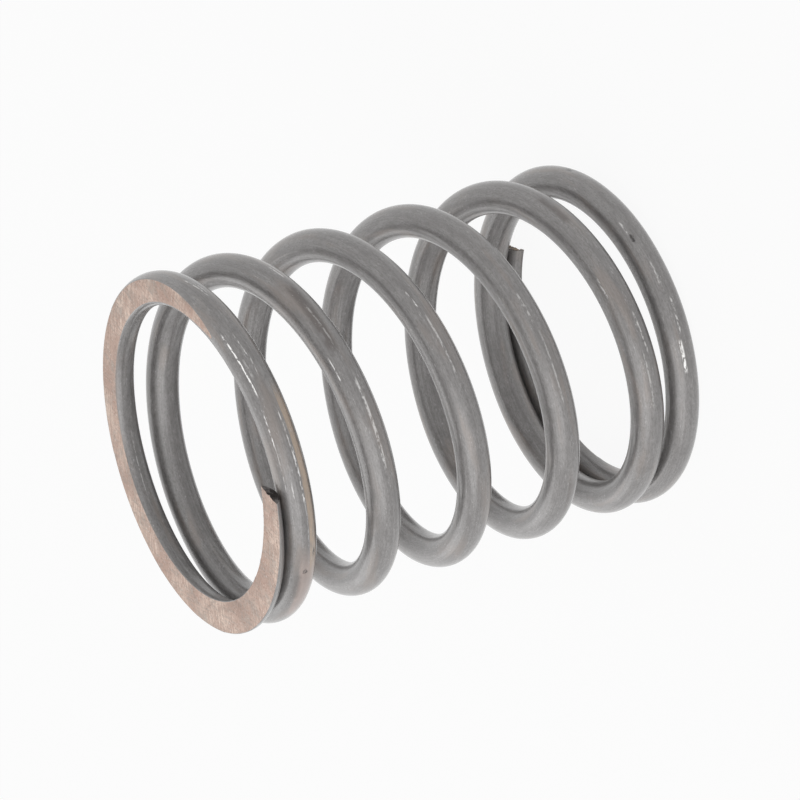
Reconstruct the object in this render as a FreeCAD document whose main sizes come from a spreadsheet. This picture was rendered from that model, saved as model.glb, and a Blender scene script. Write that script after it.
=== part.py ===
"""Compression spring of round steel wire, with both ends closed down and ground flat.

The spring stands on its lower ground face at Z = 0, with the coil's axis on Z. The raw wire starts at
the +X side of the lower end and climbs as a right-hand helix. Lengths are in millimetres, angles in
degrees, and the places along the wire in turns.
"""
import FreeCAD, Part
import math
import os
import Sketcher

# Driving dimensions: name, value, meaning
DIMENSIONS = [
    ("wire_diameter", 3.0, "round spring wire"),
    ("mean_diameter", 29.4, "coil diameter at the middle of the wire"),
    ("free_length", 43.3, "from ground face to ground face, unloaded"),
    ("total_turns", 6.563, "from tip to tip"),
    ("closed_gap", 0.05, "daylight between a closed tip and the turn it lies against"),
    ("lower_closed_turns", 1.03, "wound closed at the lower end before the pitch opens"),
    ("lower_opening_turns", 0.65, "over which the lower end opens to the full pitch"),
    ("upper_closed_turns", 0.876, "wound closed at the upper end"),
    ("upper_opening_turns", 0.72, "over which the upper end opens to the full pitch"),
    ("lower_tip_thickness", 1.1, "left of the wire at the lower tip after grinding"),
    ("upper_tip_thickness", 0.75, "left of the wire at the upper tip after grinding"),
    ("lower_sway", -0.15, "how far the lower end turn bows away from an even rise"),
    ("upper_sway", 0.38, "how far the upper end turn bows away from an even rise"),
    ("coil_lean", 0.45, "how far the open turns tip up at their high side"),
    ("coil_lean_bearing", 15.0, "direction of that high side, turned from +X"),
    ("end_turn_blend", 0.8, "turns over which an end turn's sway gives way to the lean"),
    ("cut_skew", 24.0, "slant of the sheared ends, which are longer on the inner side"),
    ("cut_allowance", 0.1, "raw wire past the sheared end's inner corner"),
]

# The path is one smooth curve through so many points, cut into spans that sweep cleanly. The wire's
# section is three arcs that join at these bearings, so that no joint runs along a ground face's edge
POINTS_PER_TURN = 24
SPANS_PER_TURN = 2
SECTION_JOINS = (30, 150, 270)
MESH_TOLERANCE = 0.02

# The middle of a sheared end lies this far along the raw wire, as an expression on the sheet
SHEAR_REACH = "dims.wire_diameter / 2 * tan(dims.cut_skew * 1 deg)"
SHEAR_MIDDLE = "dims.cut_allowance + " + SHEAR_REACH
RAW_END_BEARING = (
    "360 * dims.total_turns + 4 * (" + SHEAR_MIDDLE + ") / dims.mean_diameter * 180 / pi"
)

# Each end has a frame on its ground face: X out to the raw wire's end, Y along the wire from
# there, and Z into the spring
FRAME = "create(<<placement>>; create(<<vector>>; 0; 0; %s); create(<<rotation>>; %s; 0; %s))"
END_FRAMES = {
    "lower": FRAME % ("0", "0", "0"),
    "upper": FRAME % ("dims.free_length", RAW_END_BEARING, "180"),
}


def fill_sheet(doc):
    """The spreadsheet that holds every driving dimension under its own name."""
    sheet = doc.addObject("Spreadsheet::Sheet", "dims")
    sheet.Label = "dims"
    for row, (alias, value, meaning) in enumerate(DIMENSIONS, start=1):
        sheet.set("A%d" % row, meaning)
        sheet.set("B%d" % row, str(value))
        sheet.setAlias("B%d" % row, alias)
    doc.recompute()
    return sheet


def smooth_step(x):
    """Rises from 0 to 1 while x goes from 0 to 1, level at both ends."""
    x = min(max(x, 0.0), 1.0)
    return x * x * (3 - 2 * x)


def opened(turns, width):
    """The turns wound at full pitch once the pitch has opened smoothly over the given width."""
    x = max(turns / width, 0.0)
    if x < 1:
        return width * (x ** 3 - x ** 4 / 2)
    return width * (x - 0.5)


class Winding:
    """Where the middle of the wire runs, worked out from the driving dimensions."""

    def __init__(self, dims):
        self.dims = dims
        self.wire_radius = dims.wire_diameter / 2
        self.mean_radius = dims.mean_diameter / 2
        shear_reach = self.wire_radius * math.tan(math.radians(dims.cut_skew))
        self.shear_middle = dims.cut_allowance + shear_reach
        self.trim_turns = self.shear_middle / (2 * math.pi * self.mean_radius)
        self.raw_turns = dims.total_turns + 2 * self.trim_turns
        self.lower_tip_height = dims.lower_tip_thickness - self.wire_radius
        upper_tip_height = dims.free_length - dims.upper_tip_thickness + self.wire_radius
        self.closed_pitch = dims.wire_diameter + dims.closed_gap
        climb = upper_tip_height - self.lower_tip_height - self.closed_pitch * dims.total_turns
        self.extra_pitch = climb / self.open_turns(dims.total_turns)

    def open_turns(self, turns):
        """How many of the turns up to this place are wound at full pitch."""
        dims = self.dims
        upper_start = dims.total_turns - dims.upper_closed_turns - dims.upper_opening_turns
        below = opened(turns - dims.lower_closed_turns, dims.lower_opening_turns)
        return below - opened(turns - upper_start, dims.upper_opening_turns)

    def end_share(self, turns_from_tip):
        """1 in the first turn from a tip, then down to 0 where the open turns have taken over."""
        return 1 - smooth_step((turns_from_tip - 1) / self.dims.end_turn_blend)

    def height(self, turns):
        """Height of the wire's middle, the given number of turns up from the lower tip."""
        dims = self.dims
        from_top = dims.total_turns - turns
        lower = self.end_share(turns)
        upper = self.end_share(from_top)
        bearing = 2 * math.pi * (turns + self.trim_turns) - math.radians(dims.coil_lean_bearing)
        even = self.lower_tip_height + self.closed_pitch * turns
        even += self.extra_pitch * self.open_turns(turns)
        sway = lower * dims.lower_sway * math.sin(2 * math.pi * turns)
        sway -= upper * dims.upper_sway * math.sin(2 * math.pi * from_top)
        return even + sway + (1 - lower) * (1 - upper) * dims.coil_lean * math.cos(bearing)

    def path(self):
        """A smooth curve along the middle of the raw wire, in spans of half a turn or less."""
        steps = math.ceil(self.raw_turns * POINTS_PER_TURN)
        points = []
        for step in range(steps + 1):
            turned = self.raw_turns * step / steps
            x = self.mean_radius * math.cos(2 * math.pi * turned)
            y = self.mean_radius * math.sin(2 * math.pi * turned)
            points.append(FreeCAD.Vector(x, y, self.height(turned - self.trim_turns)))
        curve = Part.BSplineCurve()
        curve.interpolate(points)
        first = curve.FirstParameter
        spans = math.ceil(self.raw_turns * SPANS_PER_TURN)
        share = (curve.LastParameter - first) / spans
        edges = []
        for number in range(spans):
            span = curve.copy()
            span.segment(first + number * share, first + (number + 1) * share)
            edges.append(span.toShape())
        return Part.Wire(edges)


def base_plane(body, role):
    """One of the body's own base planes, such as XY_Plane."""
    return next(plane for plane in body.Origin.OriginFeatures if plane.Role == role)


def add_sketch(body, name, role):
    """A sketch on one of the body's own base planes."""
    sketch = body.newObject("Sketcher::SketchObject", name)
    sketch.AttachmentSupport = [(base_plane(body, role), "")]
    sketch.MapMode = "FlatFace"
    return sketch


def bind(sketch, constraint, name, expression):
    """Adds a named constraint whose value follows the sheet."""
    index = sketch.addConstraint(constraint)
    sketch.renameConstraint(index, name)
    sketch.setExpression("Constraints." + name, expression)


def draw_coil_axis(body, winding):
    """A sketch of the coil's axis, a wire's width longer than the spring at each end."""
    axis = add_sketch(body, "coil_axis", "XZ_Plane")
    foot = FreeCAD.Vector(0, -2 * winding.wire_radius, 0)
    head = FreeCAD.Vector(0, winding.dims.free_length + 2 * winding.wire_radius, 0)
    line = axis.addGeometry(Part.LineSegment(foot, head))
    axis.addConstraint(Sketcher.Constraint("PointOnObject", line, 1, -2))
    axis.addConstraint(Sketcher.Constraint("Vertical", line))
    below = Sketcher.Constraint("DistanceY", line, 1, -1, 1, -foot.y)
    bind(axis, below, "below", "dims.wire_diameter")
    length = Sketcher.Constraint("DistanceY", line, 1, line, 2, head.y - foot.y)
    bind(axis, length, "length", "dims.free_length + 2 * dims.wire_diameter")
    return axis


def draw_wire_section(body, winding):
    """A sketch of the round wire where the winding starts, as three arcs of one circle."""
    section = add_sketch(body, "wire_section", "XZ_Plane")
    start_height = winding.height(-winding.trim_turns)
    section.AttachmentOffset = FreeCAD.Placement(FreeCAD.Vector(0, start_height, 0), FreeCAD.Rotation())
    centre = FreeCAD.Vector(winding.mean_radius, 0, 0)
    round_wire = Part.Circle(centre, FreeCAD.Vector(0, 0, 1), winding.wire_radius)
    right, left, bottom = (math.radians(bearing) for bearing in SECTION_JOINS)
    top_arc = section.addGeometry(Part.ArcOfCircle(round_wire, right, left))
    left_arc = section.addGeometry(Part.ArcOfCircle(round_wire, left, bottom))
    right_arc = section.addGeometry(Part.ArcOfCircle(round_wire, bottom, right + 2 * math.pi))
    for arc, next_arc in ((top_arc, left_arc), (left_arc, right_arc), (right_arc, top_arc)):
        section.addConstraint(Sketcher.Constraint("Coincident", arc, 2, next_arc, 1))
    section.addConstraint(Sketcher.Constraint("Coincident", left_arc, 3, top_arc, 3))
    section.addConstraint(Sketcher.Constraint("Equal", right_arc, top_arc))
    section.addConstraint(Sketcher.Constraint("PointOnObject", top_arc, 3, -1))
    section.addConstraint(Sketcher.Constraint("Vertical", left_arc, 2, top_arc, 3))
    section.addConstraint(Sketcher.Constraint("Horizontal", top_arc, 1, top_arc, 2))
    join_height = Sketcher.Constraint("DistanceY", top_arc, 3, top_arc, 1, winding.wire_radius / 2)
    bind(section, join_height, "join_height", "dims.wire_diameter / 4")
    coil_radius = Sketcher.Constraint("DistanceX", -1, 1, top_arc, 3, winding.mean_radius)
    bind(section, coil_radius, "coil_radius", "dims.mean_diameter / 2")
    wire_width = Sketcher.Constraint("Diameter", top_arc, 2 * winding.wire_radius)
    bind(section, wire_width, "wire_width", "dims.wire_diameter")
    return section


def wind_wire(body, winding):
    """The raw wire: its section swept along the whole winding, facing the coil's axis all the way."""
    path = body.Document.addObject("Part::Feature", "wire_path")
    path.Label = "wire_path"
    path.Shape = winding.path()
    spans = tuple("Edge%d" % (number + 1) for number in range(len(path.Shape.Edges)))
    binder = body.newObject("PartDesign::SubShapeBinder", "path_in_body")
    binder.Support = [(path, spans)]
    axis = draw_coil_axis(body, winding)
    section = draw_wire_section(body, winding)
    body.Document.recompute()

    wire = body.newObject("PartDesign::AdditivePipe", "wound_wire")
    wire.Profile = section
    wire.Refine = False
    wire.Spine = (binder, list(spans))
    wire.Mode = "Auxiliary"
    wire.AuxiliarySpine = (axis, ["Edge1"])
    wire.AuxiliaryCurvilinear = False


def cut_away(body, sketch, name):
    """A pocket of the sketch, which the caller then gives its depth."""
    pocket = body.newObject("PartDesign::Pocket", name)
    pocket.Profile = sketch
    pocket.Refine = False
    return pocket


def grind_end(body, winding, end):
    """Grinds an end flat: all of the wire that lies outside the end's plane is taken off."""
    sketch = add_sketch(body, end + "_grinding_wheel", "XY_Plane")
    sketch.setExpression("AttachmentOffset", END_FRAMES[end])
    wheel_radius = winding.mean_radius + 2 * winding.wire_radius
    wheel = Part.Circle(FreeCAD.Vector(), FreeCAD.Vector(0, 0, 1), wheel_radius)
    circle = sketch.addGeometry(wheel)
    sketch.addConstraint(Sketcher.Constraint("Coincident", circle, 3, -1, 1))
    wheel_width = Sketcher.Constraint("Diameter", circle, 2 * wheel_radius)
    bind(sketch, wheel_width, "wheel_width", "dims.mean_diameter + 2 * dims.wire_diameter")
    pocket = cut_away(body, sketch, end + "_ground_face")
    pocket.Type = "ThroughAll"


def shear_tip(body, winding, end):
    """Shears the raw end on the slant, through the thickness of wire that the grinding left."""
    sketch = add_sketch(body, end + "_shear_line", "XY_Plane")
    sketch.setExpression("AttachmentOffset", END_FRAMES[end])
    slope = math.tan(math.radians(winding.dims.cut_skew))
    outside = winding.mean_radius + 2 * winding.wire_radius
    back = -winding.dims.cut_allowance
    top = winding.shear_middle + 2 * winding.wire_radius * slope
    sharp_corner = FreeCAD.Vector(outside - (top - back) / slope, back, 0)
    far_corner = FreeCAD.Vector(outside, top, 0)
    square_corner = FreeCAD.Vector(outside, back, 0)
    slant = sketch.addGeometry(Part.LineSegment(sharp_corner, far_corner))
    side = sketch.addGeometry(Part.LineSegment(far_corner, square_corner))
    base = sketch.addGeometry(Part.LineSegment(square_corner, sharp_corner))
    for line, next_line in ((slant, side), (side, base), (base, slant)):
        sketch.addConstraint(Sketcher.Constraint("Coincident", line, 2, next_line, 1))
    sketch.addConstraint(Sketcher.Constraint("Vertical", side))
    sketch.addConstraint(Sketcher.Constraint("Horizontal", base))
    skew = Sketcher.Constraint("Angle", slant, math.radians(winding.dims.cut_skew))
    bind(sketch, skew, "skew", "dims.cut_skew * 1 deg")
    reach_out = Sketcher.Constraint("DistanceX", -1, 1, side, 2, outside)
    bind(sketch, reach_out, "reach_out", "dims.mean_diameter / 2 + dims.wire_diameter")
    reach_back = Sketcher.Constraint("DistanceY", side, 2, -1, 1, -back)
    bind(sketch, reach_back, "reach_back", "dims.cut_allowance")
    reach_along = Sketcher.Constraint("DistanceY", -1, 1, slant, 2, top)
    bind(sketch, reach_along, "reach_along", SHEAR_MIDDLE + " + 2 * " + SHEAR_REACH)
    pocket = cut_away(body, sketch, end + "_sheared_tip")
    pocket.Type = "Length"
    pocket.Reversed = True
    pocket.setExpression("Length", "dims." + end + "_tip_thickness + dims.closed_gap / 2")


def check_features(doc):
    """Stops if any object of the document failed."""
    for item in doc.Objects:
        if "Invalid" in item.State or "Error" in item.State:
            raise RuntimeError(item.Label + " failed: " + item.getStatusString())


def mesh_volume(shape):
    """The volume inside the shape's fine mesh, which long swept faces don't upset."""
    points, triangles = shape.tessellate(MESH_TOLERANCE)
    six_times = 0.0
    for first, second, third in triangles:
        six_times += points[first].dot(points[second].cross(points[third]))
    return six_times / 6


def check_volume(body, before, name):
    """Stops if a cut took nothing off, and returns what is left."""
    after = mesh_volume(body.Shape)
    if not 0 < after < before:
        raise RuntimeError(name + " took nothing off the wire")
    print(name, "takes off", round(before - after, 2), "cubic mm")
    return after


def make_spring(doc, winding):
    """The whole spring: wound, ground at both ends, and sheared to length."""
    body = doc.addObject("PartDesign::Body", "spring")
    body.Label = "spring"
    wind_wire(body, winding)
    doc.recompute()
    volume = mesh_volume(body.Shape)
    for step in (grind_end, shear_tip):
        for end in ("lower", "upper"):
            step(body, winding, end)
            doc.recompute()
            check_features(doc)
            volume = check_volume(body, volume, step.__name__ + " " + end)
    return body


doc = FreeCAD.newDocument("lock_spring")
winding = Winding(fill_sheet(doc))
spring = make_spring(doc, winding)
if spring.Shape.isNull() or not spring.Shape.isValid() or len(spring.Shape.Solids) != 1:
    raise RuntimeError("the spring is not one sound solid")
print("full pitch", round(winding.closed_pitch + winding.extra_pitch, 3))
print("volume", round(mesh_volume(spring.Shape), 2), "cubic mm")

os.makedirs("parts", exist_ok=True)
spring.Shape.exportStep(os.path.join("parts", spring.Label + ".step"))
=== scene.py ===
import math

import bmesh
import bpy
from mathutils import Matrix, Vector, noise


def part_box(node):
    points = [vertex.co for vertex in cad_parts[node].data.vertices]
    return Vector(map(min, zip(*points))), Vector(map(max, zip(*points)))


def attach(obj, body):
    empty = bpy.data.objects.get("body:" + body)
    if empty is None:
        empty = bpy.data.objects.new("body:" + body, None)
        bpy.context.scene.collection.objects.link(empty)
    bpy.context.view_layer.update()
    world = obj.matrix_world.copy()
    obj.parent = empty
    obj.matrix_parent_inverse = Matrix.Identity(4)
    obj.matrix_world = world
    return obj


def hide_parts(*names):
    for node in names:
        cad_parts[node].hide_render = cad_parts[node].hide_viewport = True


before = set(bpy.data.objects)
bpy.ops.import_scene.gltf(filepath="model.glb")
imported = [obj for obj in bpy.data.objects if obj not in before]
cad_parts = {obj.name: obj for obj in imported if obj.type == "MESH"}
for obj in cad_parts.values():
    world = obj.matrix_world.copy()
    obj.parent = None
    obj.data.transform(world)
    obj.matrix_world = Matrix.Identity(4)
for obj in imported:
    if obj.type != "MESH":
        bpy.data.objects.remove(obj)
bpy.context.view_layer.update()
print("nodes in the frame:", sorted(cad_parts))

# %% [markdown]
# Sizes come first. The spring is modelled in millimetres, because the mesh operators compare
# distances with small fixed limits, and it is brought to Blender's metres at the very end. The free
# length is read from the frame, and the rest are the sizes that a spring maker writes on a drawing.
# %% Sizes of the spring, in millimetres
MM = 0.001
low_corner, high_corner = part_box("spring")
FREE_LENGTH = round((high_corner[2] - low_corner[2]) / MM, 3)
WIRE_RADIUS = 1.5
COIL_RADIUS = 14.7
TOTAL_TURNS = 6.563
CLOSED_PITCH = 2 * WIRE_RADIUS + 0.05
CUT_SKEW = math.radians(24)
CUT_MIDDLE = 0.1 + WIRE_RADIUS * math.tan(CUT_SKEW)
TURN = 2 * math.pi
TURN_LENGTH = TURN * COIL_RADIUS
TRIM_TURNS = CUT_MIDDLE / TURN_LENGTH
RAW_TURNS = TOTAL_TURNS + 2 * TRIM_TURNS
print("free length", FREE_LENGTH, "mm, wire length", round(RAW_TURNS * TURN_LENGTH), "mm")

# %% [markdown]
# The pitch isn't even. The end turns lie closed against their neighbours, the pitch opens smoothly
# over about two thirds of a turn, and the open turns lean a little. One function gives the height of
# the wire's middle at any place, counted in turns from the lower tip, and it is the same law that the
# solid follows, so that the visible wire lies exactly in its place.
# %% How high the wire runs
LOWER_CLOSED, LOWER_OPENING = 1.03, 0.65
UPPER_CLOSED, UPPER_OPENING = 0.876, 0.72
LOWER_TIP_HEIGHT = 1.1 - WIRE_RADIUS
UPPER_TIP_HEIGHT = FREE_LENGTH - 0.75 + WIRE_RADIUS
LOWER_SWAY, UPPER_SWAY = -0.15, 0.38
COIL_LEAN, LEAN_BEARING = 0.45, math.radians(15)
END_BLEND = 0.8


def smooth_step(x):
    """0 up to 0, 1 from 1, and smooth between."""
    x = min(max(x, 0.0), 1.0)
    return x * x * (3 - 2 * x)


def opened(turns, width):
    """The sum of a slope that grows smoothly from 0 to 1 over the given width."""
    x = max(turns / width, 0.0)
    return width * (x ** 3 - x ** 4 / 2) if x < 1 else width * (x - 0.5)


def open_turns(turns):
    """How many fully open turns lie below this place, part turns counted in."""
    upper_start = TOTAL_TURNS - UPPER_CLOSED - UPPER_OPENING
    return opened(turns - LOWER_CLOSED, LOWER_OPENING) - opened(turns - upper_start, UPPER_OPENING)


CLIMB = UPPER_TIP_HEIGHT - LOWER_TIP_HEIGHT - CLOSED_PITCH * TOTAL_TURNS
EXTRA_PITCH = CLIMB / open_turns(TOTAL_TURNS)


def wire_height(turns):
    """Height of the wire's middle, in millimetres."""
    from_top = TOTAL_TURNS - turns
    lower = 1 - smooth_step((turns - 1) / END_BLEND)
    upper = 1 - smooth_step((from_top - 1) / END_BLEND)
    bearing = TURN * (turns + TRIM_TURNS)
    sway = lower * LOWER_SWAY * math.sin(TURN * turns) - upper * UPPER_SWAY * math.sin(TURN * from_top)
    lean = (1 - lower) * (1 - upper) * COIL_LEAN * math.cos(bearing - LEAN_BEARING)
    return LOWER_TIP_HEIGHT + CLOSED_PITCH * turns + EXTRA_PITCH * open_turns(turns) + sway + lean


print("full pitch", round(CLOSED_PITCH + EXTRA_PITCH, 3), "mm")

# %% [markdown]
# A coil can be a curve with a bevel, a Screw modifier, or a spun ring. The ring is chosen here:
# create_circle gives the wire's round section, and spin carries it round the axis while it climbs.
# The operator slows down as its mesh grows, so each half turn is spun in a mesh of its own and then
# joined. The spin climbs evenly, and steeply enough that no two turns touch, so that the height of a
# vertex tells which turn it is on. The next step moves it to its real height.
# %% Spin the raw wire
SECTION_SIDES = 60
STEPS_PER_SPAN = 108
SPANS = math.ceil(RAW_TURNS * 2)
SPAN_TURNS = RAW_TURNS / SPANS
EVEN_PITCH = 9.0
MERGE_WITHIN = 0.001


def spin_span(target, number):
    """Spins one span of the wire, about half a turn, and adds it to the target mesh."""
    start = number * SPAN_TURNS
    ring_place = (
        Matrix.Rotation(TURN * start, 4, "Z")
        @ Matrix.Translation((COIL_RADIUS, 0, EVEN_PITCH * start))
        @ Matrix.Rotation(math.radians(90), 4, "X")
    )
    span = bmesh.new()
    bmesh.ops.create_circle(span, segments=SECTION_SIDES, radius=WIRE_RADIUS, matrix=ring_place)
    bmesh.ops.spin(
        span,
        geom=span.verts[:] + span.edges[:],
        axis=(0, 0, 1),
        angle=TURN * SPAN_TURNS,
        dvec=(0, 0, EVEN_PITCH * SPAN_TURNS / STEPS_PER_SPAN),
        steps=STEPS_PER_SPAN,
    )
    carrier = bpy.data.meshes.new("span")
    span.to_mesh(carrier)
    span.free()
    target.from_mesh(carrier)
    bpy.data.meshes.remove(carrier)


wire = bmesh.new()
for span_number in range(SPANS):
    spin_span(wire, span_number)
bmesh.ops.remove_doubles(wire, verts=wire.verts, dist=MERGE_WITHIN)
print("raw wire:", len(wire.verts), "vertices,", len(wire.faces), "faces")

# %% [markdown]
# Drawn wire isn't a perfect cylinder: it swells and dips by a hundredth of a millimetre, enough for a
# highlight to wander. Each vertex gets its real height here, and it also remembers where it lies on
# the unwound wire: outwards, upwards and along, in millimetres. The materials paint on that straight
# wire, so that their lines follow every turn and no seam shows.
# %% Wind it to its real pitch
UNEVENNESS = 0.012
unwound = wire.verts.layers.float_vector.new("unwound")


def wind_vertex(vertex):
    """Moves a vertex of the evenly spun wire to its place and notes where it is on the wire."""
    x, y, z = vertex.co
    bearing_turns = math.atan2(y, x) / TURN
    whole_turns = round(z / EVEN_PITCH - bearing_turns)
    raw_turns = whole_turns + bearing_turns
    outward = math.hypot(x, y) - COIL_RADIUS
    upward = z - EVEN_PITCH * raw_turns
    along = TURN_LENGTH * raw_turns
    swell = noise.noise(Vector((outward, upward, along / 5))) * UNEVENNESS
    outward += outward / WIRE_RADIUS * swell
    upward += upward / WIRE_RADIUS * swell
    vertex[unwound] = (outward, upward, along)
    place_vertex(vertex)


def place_vertex(vertex):
    """Puts a vertex where its place on the unwound wire says."""
    outward, upward, along = vertex[unwound]
    raw_turns = along / TURN_LENGTH
    radius = COIL_RADIUS + outward
    height = wire_height(raw_turns - TRIM_TURNS) + upward
    vertex.co = (radius * math.cos(TURN * raw_turns), radius * math.sin(TURN * raw_turns), height)


for vertex in wire.verts:
    wind_vertex(vertex)
print("wound height", round(max(v.co.z for v in wire.verts) - min(v.co.z for v in wire.verts), 2), "mm")

# %% [markdown]
# The outside of an upper turn has been rubbed against something hard. The rub is a narrow flat, about
# a quarter of the wire wide. Two nicks lie beside it, and two more on the lowest turn. They could be
# painted, but a flat catches the light as no paint does, so the vertices are pushed in: a flat is
# where the wire may not stand further out than a given line, and a nick is a small dent.
#
# Places on the wire are given the way a maker would point at them: the turn, counted up from the
# lower tip, the bearing within it in degrees, and how high up the round section they lie.
# %% Rub and nick the outside
RUB_START, RUB_END = (5, 168), (5, 224)
RUB_HEIGHT, RUB_DEPTH, RUB_FADE = math.radians(-15), 0.05, 5.0
NICK_REACH = 3
NICKS = [
    # turn and bearing, height on the section, length, width and depth in millimetres
    ((5, 180.3), -29, 0.50, 0.16, 0.12),
    ((5, 173.5), 5, 0.30, 0.22, 0.08),
    ((0, 249.5), 30, 0.40, 0.18, 0.06),
    ((0, 289.0), 2, 0.45, 0.20, 0.08),
]


def along_wire(place):
    """Millimetres along the unwound wire for a turn and a bearing in degrees."""
    turn, bearing = place
    return TURN_LENGTH * (turn + bearing / 360 + TRIM_TURNS)


def push_in(vertex, depth):
    """Moves a vertex towards the wire's middle."""
    outward, upward, along = vertex[unwound]
    share = 1 - depth / math.hypot(outward, upward)
    vertex[unwound] = (outward * share, upward * share, along)


rub_from, rub_to = along_wire(RUB_START), along_wire(RUB_END)


def rub_and_nick(vertex):
    """Flattens the wire where it is rubbed, and dents it where it has a nick."""
    outward, upward, along = vertex[unwound]
    fade = smooth_step((along - rub_from) / RUB_FADE) * smooth_step((rub_to - along) / RUB_FADE)
    if fade > 0:
        reach = outward * math.cos(RUB_HEIGHT) + upward * math.sin(RUB_HEIGHT)
        push_in(vertex, max(reach - WIRE_RADIUS + RUB_DEPTH * fade, 0))
    for place, height, length, width, depth in NICKS:
        along_share = (along - along_wire(place)) / length
        if abs(along_share) < NICK_REACH:
            turned = math.atan2(upward, outward) - math.radians(height)
            across_share = turned * WIRE_RADIUS / width
            push_in(vertex, depth * math.exp(-along_share ** 2 - across_share ** 2))


for vertex in wire.verts:
    rub_and_nick(vertex)
    place_vertex(vertex)
print("rubbed", round(rub_to - rub_from, 1), "mm of wire and made", len(NICKS), "nicks")

# %% [markdown]
# The wire was cut off by a shear, on the slant and longer on the inside. bisect_plane cuts the mesh
# and clears what lies beyond, edgeloop_fill closes the hole, and inset_region gives the new face some
# rings of its own, which are then roughened. A shear presses into the metal first and tears the rest,
# so the relief is uneven and deeper in the middle.
# %% Shear both ends
CUT_WITHIN = 0.0001
NEAR_END = 4 * WIRE_RADIUS
MATERIAL_GROUND, MATERIAL_TORN = 1, 2
TEAR_RINGS = (0.12, 0.2, 0.3)
TEAR_DEPTH = 0.07


def end_directions(raw_turns, onward):
    """Outwards from the coil's axis, and into the wire from its end, at the given place."""
    bearing = TURN * raw_turns
    outwards = Vector((math.cos(bearing), math.sin(bearing), 0))
    along = Vector((-math.sin(bearing), math.cos(bearing), 0))
    return outwards, along * onward


def shear_end(raw_turns, onward):
    """Cuts the wire's end on the slant, closes it, and roughens the cut."""
    outwards, inwards = end_directions(raw_turns, onward)
    middle = outwards * COIL_RADIUS + inwards * CUT_MIDDLE
    cut_normal = outwards * math.sin(CUT_SKEW) - inwards * math.cos(CUT_SKEW)
    end_along = TURN_LENGTH * raw_turns
    near = {vertex for vertex in wire.verts if abs(vertex[unwound].z - end_along) < NEAR_END}
    faces = [face for face in wire.faces if near.issuperset(face.verts)]
    edges = [edge for edge in wire.edges if near.issuperset(edge.verts)]
    cut = bmesh.ops.bisect_plane(
        wire,
        geom=list(near) + edges + faces,
        dist=CUT_WITHIN,
        plane_co=middle,
        plane_no=cut_normal,
        clear_outer=True,
    )
    rim = [item for item in cut["geom_cut"] if isinstance(item, bmesh.types.BMEdge)]
    torn = bmesh.ops.edgeloop_fill(wire, edges=rim)["faces"]
    for face in torn:
        face.material_index = MATERIAL_TORN
    for ring_width in TEAR_RINGS:
        bmesh.ops.inset_region(wire, faces=torn, thickness=ring_width, use_even_offset=False)
        for vertex in {vertex for face in torn for vertex in face.verts}:
            roughness = noise.noise(vertex.co * 2.3) + 0.5 * noise.noise(vertex.co * 7)
            vertex.co -= cut_normal * TEAR_DEPTH * (0.4 + roughness)
    bmesh.ops.triangulate(wire, faces=torn)
    return len(rim)


for raw_end, onward in ((0, 1), (RAW_TURNS, -1)):
    print("sheared end, edges round the cut:", shear_end(raw_end, onward))

# %% [markdown]
# Grinding is another cut by a plane, this time square to the coil's axis. It leaves a crescent that
# thins out where the wire dips away from the wheel. The wheel also breaks the sharp rim a little, and
# a broken rim is what gives real ground ends their thin bright outline. A second cut just below the
# face makes an edge for it to start from, and then the rim is drawn in.
# %% Grind both ends flat
RIM_BREAK = 0.05
RIM_SHARE = 0.25
RIM_OUTER_PART = 0.9


def grind_end(height, up):
    """Grinds away all that lies beyond a height, and breaks the rim of the flat."""
    everything = wire.verts[:] + wire.edges[:] + wire.faces[:]
    start = Vector((0, 0, height - up * RIM_BREAK))
    bmesh.ops.bisect_plane(wire, geom=everything, dist=CUT_WITHIN, plane_co=start, plane_no=(0, 0, up))
    everything = wire.verts[:] + wire.edges[:] + wire.faces[:]
    cut = bmesh.ops.bisect_plane(
        wire,
        geom=everything,
        dist=CUT_WITHIN,
        plane_co=(0, 0, height),
        plane_no=(0, 0, up),
        clear_outer=True,
    )
    rim = [item for item in cut["geom_cut"] if isinstance(item, bmesh.types.BMEdge)]
    flats = bmesh.ops.edgeloop_fill(wire, edges=rim)["faces"]
    for vertex in {vertex for edge in rim for vertex in edge.verts}:
        outward, upward = vertex[unwound].xy
        half_width = math.sqrt(max(WIRE_RADIUS ** 2 - upward ** 2, 0))
        draw_in = min(RIM_BREAK, RIM_SHARE * half_width)
        if abs(outward) > RIM_OUTER_PART * half_width:
            radial = Vector((vertex.co.x, vertex.co.y, 0)).normalized()
            vertex.co -= radial * math.copysign(draw_in, outward)
    for face in flats:
        face.material_index = MATERIAL_GROUND
    return flats


for end_height, up in ((0.0, -1), (FREE_LENGTH, 1)):
    flats = grind_end(end_height, up)
    area = sum(face.calc_area() for face in flats)
    print("ground flat at", end_height, "mm:", len(flats), "face,", round(area, 1), "square mm")

# %% [markdown]
# The flats are single faces with hundreds of corners, so they are triangulated. Then the mesh is
# brought to metres, its faces are turned outwards, and an edge is marked sharp where two faces meet
# at a real corner, so that the round wire shades smoothly and the ground rims stay crisp.
# %% Finish the wire's mesh
SHARP_ANGLE = math.radians(28)

big_faces = [face for face in wire.faces if len(face.verts) > 4]
bmesh.ops.triangulate(wire, faces=big_faces, ngon_method="EAR_CLIP")
bmesh.ops.recalc_face_normals(wire, faces=wire.faces)
bmesh.ops.scale(wire, vec=(MM, MM, MM), verts=wire.verts)
for face in wire.faces:
    face.smooth = True
open_edges = sum(1 for edge in wire.edges if not edge.is_manifold)
triangles = sum(len(face.verts) - 2 for face in wire.faces)
print("finished wire:", triangles, "triangles,", open_edges, "open edges")

mesh = bpy.data.meshes.new("spring_wire")
wire.to_mesh(mesh)
wire.free()
mesh.set_sharp_from_angle(angle=SHARP_ANGLE)
spring = bpy.data.objects.new("spring_wire", mesh)
bpy.context.scene.collection.objects.link(spring)

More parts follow.
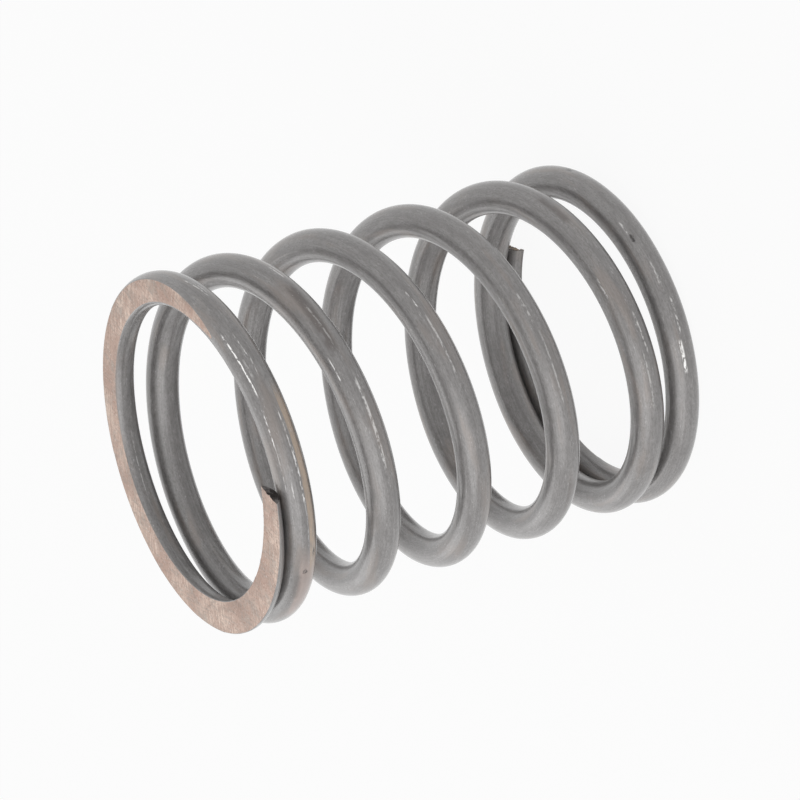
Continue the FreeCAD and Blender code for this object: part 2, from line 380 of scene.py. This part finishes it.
# %% [markdown]
# Shader maths is easier to read as Python than as a web of nodes. Value wraps an output socket, and
# each operator on it adds one Math node. The reflected operators let a plain number stand first.
# %% Numbers in a material
class Value:
    """A number, a vector or a colour on its way through the nodes."""

    def __init__(self, finish, socket):
        self.finish = finish
        self.socket = socket

    def maths(self, operation, *operands):
        inputs = dict(enumerate(operands))
        return self.finish.add("ShaderNodeMath", {"operation": operation}, inputs)

    def __add__(self, other):
        return self.maths("ADD", self, other)

    def __radd__(self, other):
        return self.maths("ADD", other, self)

    def __sub__(self, other):
        return self.maths("SUBTRACT", self, other)

    def __rsub__(self, other):
        return self.maths("SUBTRACT", other, self)

    def __mul__(self, other):
        return self.maths("MULTIPLY", self, other)

    def __rmul__(self, other):
        return self.maths("MULTIPLY", other, self)

    def __truediv__(self, other):
        return self.maths("DIVIDE", self, other)

    def __abs__(self):
        return self.maths("ABSOLUTE", self)

    def larger(self, other):
        return self.maths("MAXIMUM", self, other)

    def ramp(self, low, high):
        """0 up to the low value, 1 from the high one, and smooth between."""
        settings = {"interpolation_type": "SMOOTHSTEP"}
        inputs = {"Value": self, "From Min": low, "From Max": high}
        return self.finish.add("ShaderNodeMapRange", settings, inputs)

    def near(self, middle, reach, soft):
        """1 within reach of the middle, and 0 a little further off."""
        return 1 - abs(self - middle).ramp(reach, reach + soft)


# %% [markdown]
# Finish makes a material. Its add method adds any node: first the settings, then the values or links
# of the sockets. The others are short names for the nodes that this object needs again and again.
# %% A material in the making
class Finish:
    """A material, or the nodes of one."""

    def __init__(self, name):
        self.material = bpy.data.materials.new(name)
        self.material.use_nodes = True
        self.tree = self.material.node_tree
        self.tree.nodes.clear()

    def add(self, kind, settings=None, inputs=None, output=0):
        """Adds a node and returns one of its outputs, if it has any."""
        node = self.tree.nodes.new(kind)
        for name, setting in (settings or {}).items():
            setattr(node, name, setting)
        for key, value in (inputs or {}).items():
            socket = node.inputs[key]
            if isinstance(value, Value):
                self.tree.links.new(value.socket, socket)
            else:
                socket.default_value = value
        return Value(self, node.outputs[output]) if node.outputs else None

    def parts(self, vector):
        """The three numbers of a vector."""
        first = self.add("ShaderNodeSeparateXYZ", {}, {"Vector": vector})
        return [Value(self, socket) for socket in first.socket.node.outputs]

    def scaled(self, vector, scale):
        """A vector with each of its numbers multiplied."""
        settings = {"operation": "MULTIPLY"}
        return self.add("ShaderNodeVectorMath", settings, {0: vector, 1: scale})

    def noise(self, vector, scale, detail=3.0, roughness=0.55):
        """Cloudy noise whose grain has its own size in each direction."""
        inputs = {"Vector": self.scaled(vector, scale), "Scale": 1.0, "Detail": detail}
        inputs["Roughness"] = roughness
        return self.add("ShaderNodeTexNoise", {}, inputs)

    def mixed(self, factor, first, second):
        """A colour between two others."""
        settings = {"data_type": "RGBA"}
        return self.add("ShaderNodeMix", settings, {0: factor, 6: first, 7: second}, output=2)

    def bump(self, height, distance):
        """A surface direction, turned as a relief of this height would turn it."""
        inputs = {"Height": height, "Distance": distance, "Strength": 1.0}
        return self.add("ShaderNodeBump", {}, inputs)

    def surface(self, **sockets):
        """The one surface shader, and the way out."""
        inputs = {name.replace("_", " "): value for name, value in sockets.items()}
        shader = self.add("ShaderNodeBsdfPrincipled", {}, inputs)
        self.add("ShaderNodeOutputMaterial", {}, {"Surface": shader})


def tone(red, green, blue):
    """A colour as it is picked on a screen, from 0 to 255, as Blender's linear values."""
    shares = [channel / 255 for channel in (red, green, blue)]
    linear = [s / 12.92 if s <= 0.04045 else ((s + 0.055) / 1.055) ** 2.4 for s in shares]
    return (*linear, 1.0)


# %% [markdown]
# The wire's finish is satin grey steel, built up in layers. The lowest layer is noise on the unwound
# wire: long faint lines from the drawing die, shorter fine lines, a speckle, and broad patches where
# the steel is duller or browner. The first three numbers of each noise say how many grains it has in
# a millimetre outwards, upwards and along, so a small last number makes long lines.
# %% Grain of the drawn wire
STEEL_DARK, STEEL_LIGHT = tone(128, 125, 124), tone(155, 153, 152)
STEEL_WARM, STEEL_PIT = tone(152, 140, 132), tone(104, 101, 100)

steel = Finish("drawn_wire")
on_wire = steel.add("ShaderNodeAttribute", {"attribute_name": "unwound"}, {}, output=1)
outward, upward, along = steel.parts(on_wire)
section = upward.maths("ARCTAN2", upward, outward) * math.degrees(1)

drawing_lines = steel.noise(on_wire, (5.0, 5.0, 0.14), detail=3)
fine_lines = steel.noise(on_wire, (14.0, 14.0, 1.1), detail=3)
speckle = steel.noise(on_wire, (9.0, 9.0, 3.2), detail=2, roughness=0.7)
mottle = steel.noise(on_wire, (1.6, 1.6, 0.7), detail=3)
warm_patches = steel.noise(on_wire, (0.8, 0.8, 0.14), detail=2).ramp(0.50, 0.72)

line_share = drawing_lines.ramp(0.3, 0.7) * 0.5 + fine_lines * 0.5
grey = steel.mixed(line_share, STEEL_DARK, STEEL_LIGHT)
grey = steel.mixed(mottle.ramp(0.58, 0.34) * 0.30, grey, STEEL_PIT)
grey = steel.mixed(speckle.ramp(0.52, 0.36) * 0.45, grey, STEEL_PIT)
grey = steel.mixed(warm_patches * 0.45, grey, STEEL_WARM)
print("grain of the wire:", len(steel.tree.nodes), "nodes")

# %% [markdown]
# Handling leaves marks that have places of their own: bright scratches where the spring slid over
# something hard, and dull smudges of old oil. The bright lines are partly such scratches and partly
# painted highlights: near white in the steel's colour, where lamps would catch the wire near its
# outermost line. Each is a line along the wire with a start, an end, a height on the round section, a
# slope and a width. A noise breaks the bright lines into grains, because a real scratch is a row of
# small torn facets and not a painted line.
# %% Scratches, painted highlights and smudges
# Bright lines: real scratches mixed with painted highlight streaks, all painted near white.
SCRATCHES_AND_HIGHLIGHTS = [
    # from, to, height on the section and slope (degrees, degrees a mm), width in mm, strength
    ((5, 235), (5, 256), 47, 1.1, 0.06, 1.8),
    ((5, 218), (5, 230), 50, -0.4, 0.05, 0.9),
    ((5, 203), (5, 219), 49, 0.0, 0.03, 0.35),
    ((5, 247), (5, 255), 15, 2.6, 0.04, 0.7),
    ((5, 240), (5, 247), 10, -2.0, 0.04, 0.4),
    ((5, 240), (5, 246), 32, 1.0, 0.08, 0.3),
    ((5, 215), (5, 229), 0, 0.5, 0.05, 0.6),
    ((5, 199), (5, 216), -4, 0.3, 0.10, 0.8),
    ((5, 184), (5, 199), -6, 0.2, 0.05, 0.3),
    ((5, 201), (5, 206), 28, 0.0, 0.05, 0.3),
    ((5, 273), (5, 285), 2, 4.0, 0.06, 0.45),
    ((5, 275), (5, 283), -8, 3.0, 0.05, 0.4),
    ((6, 28), (6, 53), -176, -0.5, 0.05, 0.3),
    ((4, 231), (4, 239), 48, 0.6, 0.05, 0.8),
    # A soft painted highlight streak along the outermost line of turn 4, not a scratch.
    ((4, 202), (4, 231), 1, 0.0, 0.12, 0.55),
    ((4, 272), (4, 279), -8, 2.0, 0.06, 0.5),
    ((4, 244), (4, 258), 10, 0.5, 0.08, 0.25),
    ((3, 247), (3, 253), 18, 3.5, 0.05, 0.9),
    ((3, 223), (3, 243), 8, 0.6, 0.08, 0.4),
    ((2, 232), (2, 242), 14, 0.8, 0.08, 0.35),
    ((2, 205), (2, 228), 8, 0.0, 0.06, 0.3),
    ((1, 213), (1, 226), -6, 1.5, 0.08, 0.5),
    ((1, 233), (1, 240), 56, 0.5, 0.08, 0.5),
    ((1, 195), (1, 213), 9, 0.3, 0.07, 0.3),
    ((0, 216), (0, 227), 4, -1.0, 0.08, 0.6),
    ((0, 203), (0, 213), 14, 0.5, 0.14, 1.0),
    ((0, 251), (0, 257), 34, 2.0, 0.08, 0.5),
    ((0, 232), (0, 240), 18, -1.5, 0.07, 0.4),
    ((0, 40), (0, 62), -20, 0.4, 0.05, 0.4),
    ((2, 20), (2, 47), 12, -0.5, 0.06, 0.35),
    ((3, 118), (3, 139), -8, 0.7, 0.05, 0.4),
    ((4, 330), (4, 352), 24, -0.3, 0.05, 0.4),
]
SMUDGES = [
    ((5, 176), (5, 240), -64, 0.0, 0.70, 1.0),
    ((4, 241), (4, 268), 12, -2.0, 0.45, 0.8),
    ((1, 262), (1, 276), 15, 0.0, 0.30, 0.6),
    ((5, 160), (5, 172), 25, 0.0, 0.30, 0.4),
    ((2, 150), (2, 176), -10, 0.6, 0.40, 0.5),
    ((3, 20), (3, 42), 20, -0.8, 0.40, 0.5),
]


def mark(start, end, height, slope, width, strength):
    """One line on the wire: its strength inside, and 0 outside."""
    first, last = along_wire(start), along_wire(end)
    middle, reach = (first + last) / 2, (last - first) / 2
    turned = section - height - (along - middle) * slope
    turned = turned.maths("WRAP", turned, 180.0, -180.0)
    across = turned * (math.radians(1) * WIRE_RADIUS)
    within = across.near(0.0, width / 2, width)
    return within * along.near(middle, reach * 0.8, reach * 0.4) * strength


def strongest(masks):
    """The largest of several masks at each point."""
    largest = masks[0]
    for mask in masks[1:]:
        largest = largest.larger(mask)
    return largest


torn_grain = steel.noise(on_wire, (6.5, 6.5, 2.6), detail=3).ramp(0.40, 0.58)
# The mask of scratches and painted highlights, broken into grains.
scratch_and_highlight_mask = strongest([mark(*entry) for entry in SCRATCHES_AND_HIGHLIGHTS]) * torn_grain
smudges = strongest([mark(*entry) for entry in SMUDGES]) * mottle.ramp(0.3, 0.5)
print(len(SCRATCHES_AND_HIGHLIGHTS), "scratches and", len(SMUDGES), "smudges")

# %% [markdown]
# The rubbed flat and the nicks are already in the mesh, and the finish only has to lie where they are.
# Rubbing takes the grey skin off and leaves a tan stripe, a little lower on the section than the flat
# and a little further along, which turns pink where it runs out. A nick is dark with a ragged
# outline, so its distance to the middle is disturbed by the speckle.
# %% Rubbed stripe, nicks and painted glints
RUBBED, RUB_PINK = tone(180, 160, 140), tone(184, 164, 155)
# The second colour on the next line is near white: painted highlight, for glints and bright lines.
STEEL_SMUDGE, HIGHLIGHT_WHITE = tone(88, 80, 76), tone(252, 251, 249)
TORN_DARK = tone(50, 45, 43)
STRIPE_LOWER, STRIPE_ONWARD = 12, 2
PINK_START, PINK_END, PINK_HEIGHT = (5, 150), (5, 176), -15


def nick_mask(place, height, length, width):
    """1 in the middle of a nick, and 0 outside."""
    along_share = (along - along_wire(place)) / length
    across_share = (section - height) * (math.radians(1) * WIRE_RADIUS / width)
    distance = along_share * along_share + across_share * across_share
    return (distance + 2.5 * (speckle - 0.5)).ramp(1.1, 0.3)


rub_middle, rub_reach = (rub_from + rub_to) / 2, (rub_to - rub_from) / 2
rub_band = section.near(math.degrees(RUB_HEIGHT) - STRIPE_LOWER, 14.0, 4.0)
rubbed = rub_band * along.near(rub_middle + STRIPE_ONWARD, rub_reach * 0.85, rub_reach * 0.4)
pink_middle = (along_wire(PINK_START) + along_wire(PINK_END)) / 2
pinkish = section.near(PINK_HEIGHT, 30.0, 15.0) * along.near(pink_middle, 2.5, 3.0)
nicked = strongest([nick_mask(*nick[:4]) for nick in NICKS])
# Painted glints: fine specks of highlight, painted near white into the steel's colour.
painted_glints = speckle.ramp(0.62, 0.72) * mottle.ramp(0.48, 0.60) * 0.26

grey = steel.mixed(pinkish * (0.3 + 0.7 * mottle), grey, RUB_PINK)
grey = steel.mixed(rubbed * (0.4 + 0.6 * fine_lines.ramp(0.3, 0.6)), grey, RUBBED)
grey = steel.mixed(smudges * 0.85, grey, STEEL_SMUDGE)
# Scratches, painted highlights and painted glints turn the grey towards near white here.
grey = steel.mixed(scratch_and_highlight_mask.larger(painted_glints), grey, HIGHLIGHT_WHITE)
grey = steel.mixed(nicked * (0.35 + 0.6 * torn_grain), grey, TORN_DARK)

# %% [markdown]
# Colour alone would look painted on. The scratches and painted highlights are smoother and more
# metallic than the dull skin round them, and all the layers raise or sink the surface by a hundredth
# of a millimetre. A thin coat stands for the oil film that lights up the wire's edges, where the light
# only grazes it.
# %% Shine and relief of the wire
gloss = 0.50 + 0.16 * (mottle - 0.5) + 0.14 * (speckle - 0.5)
gloss = gloss - 0.20 * scratch_and_highlight_mask - 0.05 * rubbed
relief = drawing_lines * 0.5 + fine_lines * 0.3 + speckle * 0.6
relief = relief - scratch_and_highlight_mask * 0.8 - nicked * 6.0
steel.surface(
    Base_Color=grey,
    Metallic=0.55 + 0.4 * scratch_and_highlight_mask,
    Roughness=gloss,
    Coat_Weight=0.95,
    Coat_Roughness=0.18,
    Normal=steel.bump(relief, 0.014 * MM),
)
print("drawn wire:", len(steel.tree.nodes), "nodes")

# %% [markdown]
# The ground flats are the palest and warmest part. The grinding wheel is wide and turns, so its lines
# are arcs round a far centre. Polar coordinates round that centre straighten them out: one noise is
# fine across the arcs and long along them, another crosses it, and a third makes dark pits and
# painted glints, white specks of highlight in the colour.
# %% Ground flats
GROUND_PALE, GROUND_WARM = tone(216, 196, 182), tone(184, 158, 145)
GROUND_GREY, GROUND_PIT = tone(164, 154, 146), tone(132, 108, 96)
WHEEL_CENTRE = (-66 * MM, -14 * MM, 0)
WHEEL_RADIUS = 68 * MM

ground = Finish("ground_flat")
place = ground.add("ShaderNodeTexCoord", {}, {}, output=3)
from_wheel = ground.add(
    "ShaderNodeVectorMath", {"operation": "SUBTRACT"}, {0: place, 1: WHEEL_CENTRE}
)
wheel_x, wheel_y, wheel_z = ground.parts(from_wheel)
wheel_reach = wheel_x * wheel_x + wheel_y * wheel_y
wheel_reach = wheel_reach.maths("SQRT", wheel_reach)
wheel_angle = wheel_y.maths("ARCTAN2", wheel_y, wheel_x)
on_wheel = ground.add(
    "ShaderNodeCombineXYZ", {}, {0: wheel_reach, 1: wheel_angle * WHEEL_RADIUS, 2: wheel_z}
)
wheel_lines = ground.noise(on_wheel, (6500, 700, 500), detail=3)
cross_lines = ground.noise(on_wheel, (900, 5200, 500), detail=2)
pits_and_glints = ground.noise(place, (4800, 4800, 4800), detail=2, roughness=0.7)
clouds = ground.noise(place, (210, 210, 210), detail=3)
rust = ground.noise(place, (640, 640, 640), detail=2)
beige = ground.mixed(clouds.ramp(0.35, 0.66), GROUND_PALE, GROUND_WARM)
beige = ground.mixed(rust.ramp(0.50, 0.68) * 0.6, beige, GROUND_GREY)
beige = ground.mixed(wheel_lines.ramp(0.42, 0.60) * 0.80, beige, GROUND_WARM)
beige = ground.mixed(cross_lines.ramp(0.50, 0.64) * 0.45, beige, GROUND_GREY)
beige = ground.mixed(pits_and_glints.ramp(0.54, 0.68) * 0.50, beige, GROUND_PIT)
# Painted glints: white specks of highlight painted into the flat's colour.
beige = ground.mixed(pits_and_glints.ramp(0.40, 0.26) * 0.40, beige, HIGHLIGHT_WHITE)
ground.surface(
    Base_Color=beige,
    Metallic=0.6,
    Roughness=0.55 + 0.25 * (wheel_lines - 0.5),
    Normal=ground.bump(wheel_lines * 0.7 + cross_lines * 0.3 + pits_and_glints * 0.5, 0.03 * MM),
)
print("ground flat:", len(ground.tree.nodes), "nodes")

# %% [markdown]
# The sheared ends are the darkest. Torn steel has no flat to reflect the light, and it holds grease
# and rust dust. It is dark where the metal tore, and at the lower end it is beige where the blade
# first pressed.
# %% Torn ends
TORN_GREY, TORN_BEIGE = tone(124, 120, 119), tone(166, 146, 126)

torn = Finish("torn_end")
torn_place = torn.add("ShaderNodeTexCoord", {}, {}, output=3)
grain = torn.noise(torn_place, (2600, 2600, 2600), detail=4)
ridges = torn.noise(torn_place, (900, 900, 2600), detail=3)
pressed = torn.noise(torn_place, (520, 520, 520), detail=1)
torn_tone = torn.mixed(ridges.ramp(0.42, 0.60), TORN_DARK, TORN_GREY)
torn_height = torn.parts(torn_place)[2]
pressed = pressed.ramp(0.40, 0.55) * torn_height.ramp(20 * MM, 10 * MM)
torn_tone = torn.mixed(pressed * 0.85, torn_tone, TORN_BEIGE)
torn_tone = torn.mixed(grain.ramp(0.52, 0.68) * 0.7, torn_tone, TORN_DARK)
torn.surface(
    Base_Color=torn_tone,
    Metallic=0.5,
    Roughness=0.62,
    Normal=torn.bump(grain * 0.6 + ridges, 0.09 * MM),
)
for finish in (steel, ground, torn):
    mesh.materials.append(finish.material)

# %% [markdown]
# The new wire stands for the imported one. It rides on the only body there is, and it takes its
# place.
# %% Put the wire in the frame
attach(spring, "root")
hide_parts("spring")

# %% [markdown]
# A white studio has two jobs that don't agree: the background should be white, but the light on the
# steel should stay plain. Light Path tells them apart. What the camera sees directly, and what shines
# in the metal, is white at strength 1. The floor keeps a share of its real shading for these rays
# too, which is where the shadow shows.
# %% White floor
WHITE = (1, 1, 1, 1)
FLOOR_COLOUR = (0.95, 0.95, 0.95, 1)
FLOOR_WHITE = 0.92
FLOOR_REACH = 3.0
FLOOR_DROP = 0.01 * MM


def seen_white(finish):
    """1 for rays that should find a white background."""
    path = finish.add("ShaderNodeLightPath")
    outputs = path.socket.node.outputs
    rays = [outputs[name] for name in ("Is Camera Ray", "Is Glossy Ray", "Is Transmission Ray")]
    camera, glossy, through = (Value(finish, ray) for ray in rays)
    return camera.larger(glossy).larger(through)


floor_finish = Finish("white_floor")
diffuse = floor_finish.add("ShaderNodeBsdfDiffuse", {}, {"Color": FLOOR_COLOUR})
glow = floor_finish.add("ShaderNodeEmission", {}, {"Color": WHITE, "Strength": 1.0})
share = seen_white(floor_finish) * FLOOR_WHITE
blend = floor_finish.add("ShaderNodeMixShader", {}, {0: share, 1: diffuse, 2: glow})
floor_finish.add("ShaderNodeOutputMaterial", {}, {"Surface": blend})

floor_shape = bmesh.new()
floor_place = Matrix.Translation((0, 0, -FLOOR_DROP))
bmesh.ops.create_grid(floor_shape, x_segments=1, y_segments=1, size=FLOOR_REACH, matrix=floor_place)
floor_mesh = bpy.data.meshes.new("floor")
floor_shape.to_mesh(floor_mesh)
floor_shape.free()
floor_mesh.materials.append(floor_finish.material)
floor = bpy.data.objects.new("floor", floor_mesh)
bpy.context.scene.collection.objects.link(floor)
print("floor", 2 * FLOOR_REACH, "m wide")

# %% [markdown]
# The room is the world. It is white for the same rays as the floor, and all other rays, which are the
# ones that light the steel, find less than half of that.
# %% White room
ROOM_LIGHT = 0.45

world = bpy.data.worlds.new("white_room")
bpy.context.scene.world = world
world.use_nodes = True


class Room(Finish):
    """The world's own nodes, in the same small language."""

    def __init__(self, world):
        self.tree = world.node_tree
        self.tree.nodes.clear()


room = Room(world)
strength = seen_white(room) * (1 - ROOM_LIGHT) + ROOM_LIGHT
sky = room.add("ShaderNodeBackground", {}, {"Color": WHITE, "Strength": strength})
room.add("ShaderNodeOutputWorld", {}, {"Surface": sky})
print("room:", len(room.tree.nodes), "nodes")

# %% [markdown]
# The camera stands where the photographer's did. The spring stands on its end here, and in the
# picture it lies on its side, so the camera is turned by more than a right angle. The place is given
# by the bearing and height of the line of sight, the roll, the distance, and how far the upper ring's
# middle lies from the middle of the picture.
# %% Camera
VIEW_BEARING = math.radians(-133.85)
VIEW_HEIGHT = math.radians(27.06)
VIEW_ROLL = math.radians(-106.68)
VIEW_DISTANCE = 312.1 * MM
RING_LEFT, RING_BELOW = 18.42 * MM, 4.77 * MM
LENS, SENSOR = 161.9, 36.0

backwards = Vector((
    math.cos(VIEW_HEIGHT) * math.cos(VIEW_BEARING),
    math.cos(VIEW_HEIGHT) * math.sin(VIEW_BEARING),
    math.sin(VIEW_HEIGHT),
))
level = Vector((0, 0, 1)).cross(backwards).normalized()
upright = backwards.cross(level)
right = level * math.cos(VIEW_ROLL) + upright * math.sin(VIEW_ROLL)
above = backwards.cross(right)
upper_ring = Vector((0, 0, FREE_LENGTH * MM))
eye = upper_ring + backwards * VIEW_DISTANCE + right * RING_LEFT + above * RING_BELOW

camera_data = bpy.data.cameras.new("camera")
camera_data.lens = LENS
camera_data.sensor_width = SENSOR
camera_data.clip_start = 10 * MM
camera = bpy.data.objects.new("camera", camera_data)
camera.matrix_world = Matrix.Translation(eye) @ Matrix((right, above, backwards)).transposed().to_4x4()
bpy.context.scene.collection.objects.link(camera)
bpy.context.scene.camera = camera
print("camera at", [round(c / MM) for c in eye], "mm")

# %% [markdown]
# Two large soft lamps give the round wire its shape: one below the camera, and one behind the spring,
# low and to the left.
# They are placed from the camera's own directions, because that is how a photographer sets them, and
# they stay where they are when another view is taken.
# %% Lamps
LAMPS = [
    # name, towards the right, the top and the camera, distance, size, power in watts
    ("key_box", (-0.05, -0.75, 0.70), 0.60, 0.70, 1.25),
    ("back_box", (-0.70, -0.60, -0.30), 0.60, 0.50, 0.5),
]
spring_middle = Vector((0, 0, FREE_LENGTH * MM / 2))
for name, (to_right, to_top, to_camera), distance, size, power in LAMPS:
    direction = (right * to_right + above * to_top + backwards * to_camera).normalized()
    light = bpy.data.lights.new(name, "AREA")
    light.shape = "DISK"
    light.size = size
    light.energy = power
    lamp = bpy.data.objects.new(name, light)
    lamp.matrix_world = (
        Matrix.Translation(spring_middle + direction * distance)
        @ direction.to_track_quat("Z", "Y").to_matrix().to_4x4()
    )
    bpy.context.scene.collection.objects.link(lamp)
    print(name, "at", [round(c / MM) for c in lamp.matrix_world.translation], "mm")

# %% [markdown]
# The picture uses plain colours, with no film curve.
# %% Colours and the end
bpy.context.scene.view_settings.view_transform = "Standard"
